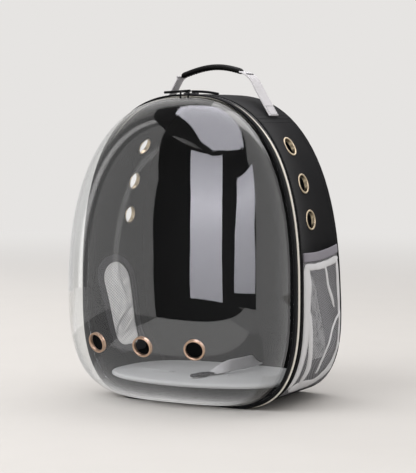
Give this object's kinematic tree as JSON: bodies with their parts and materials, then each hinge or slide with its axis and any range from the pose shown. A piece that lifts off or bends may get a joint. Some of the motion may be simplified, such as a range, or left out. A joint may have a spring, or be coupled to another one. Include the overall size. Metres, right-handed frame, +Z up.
{
  "type": "pet carrier backpack",
  "caption": "Backpack for carrying a small pet, with a clear bubble front in a piped frame, black fabric body, eyelet vents, mesh side pockets and a top handle.",
  "frame": {"origin": "on the floor, under the middle of the whole carrier's box", "axes": "+Z up, the clear bubble faces -Y, +X is the viewer's right from in front"},
  "size_m": [0.3118, 0.288, 0.4246],
  "materials": {
    "clear_pvc": "clear gloss",
    "black_fabric": "woven matt",
    "black_trim": "ribbed matt",
    "cream_piping": "satin",
    "brass": "polished",
    "grey_elastic": "ribbed matt",
    "white_mesh": "open weave",
    "grip_rubber": "grained",
    "light_webbing": "ribbed matt",
    "mat_fabric": "woven matt",
    "dark_plastic": "moulded matt"
  },
  "bodies": {
    "root": {"dome_window": "clear_pvc", "dome_binding": "black_trim", "front_piping": "cream_piping", "zip_tape": "black_trim", "top_panel": "black_fabric", "base_panel": "black_fabric", "back_panel": "black_fabric", "handle_grip": "grip_rubber", "floor_mat": "mat_fabric", "tether_strap": "light_webbing", "tether_clip": "dark_plastic", "dome_eyelet_left": "brass", "dome_eyelet_centre": "brass", "dome_eyelet_right": "brass", "zip_slider_left": "dark_plastic", "zip_pull_left": "black_trim", "side_panel_left": "black_fabric", "side_eyelet_left_1": "brass", "side_eyelet_left_2": "brass", "side_eyelet_left_3": "brass", "window_mesh_left": "white_mesh", "window_binding_left": "grey_elastic", "pocket_mesh_left": "white_mesh", "pocket_binding_left": "grey_elastic", "handle_webbing_left": "light_webbing", "shoulder_strap_left": "black_fabric", "strap_webbing_left": "black_trim", "zip_slider_right": "dark_plastic", "zip_pull_right": "black_trim", "side_panel_right": "black_fabric", "side_eyelet_right_1": "brass", "side_eyelet_right_2": "brass", "side_eyelet_right_3": "brass", "window_mesh_right": "white_mesh", "window_binding_right": "grey_elastic", "pocket_mesh_right": "white_mesh", "pocket_binding_right": "grey_elastic", "handle_webbing_right": "light_webbing", "shoulder_strap_right": "black_fabric", "strap_webbing_right": "black_trim"}
  },
  "joints": []
}
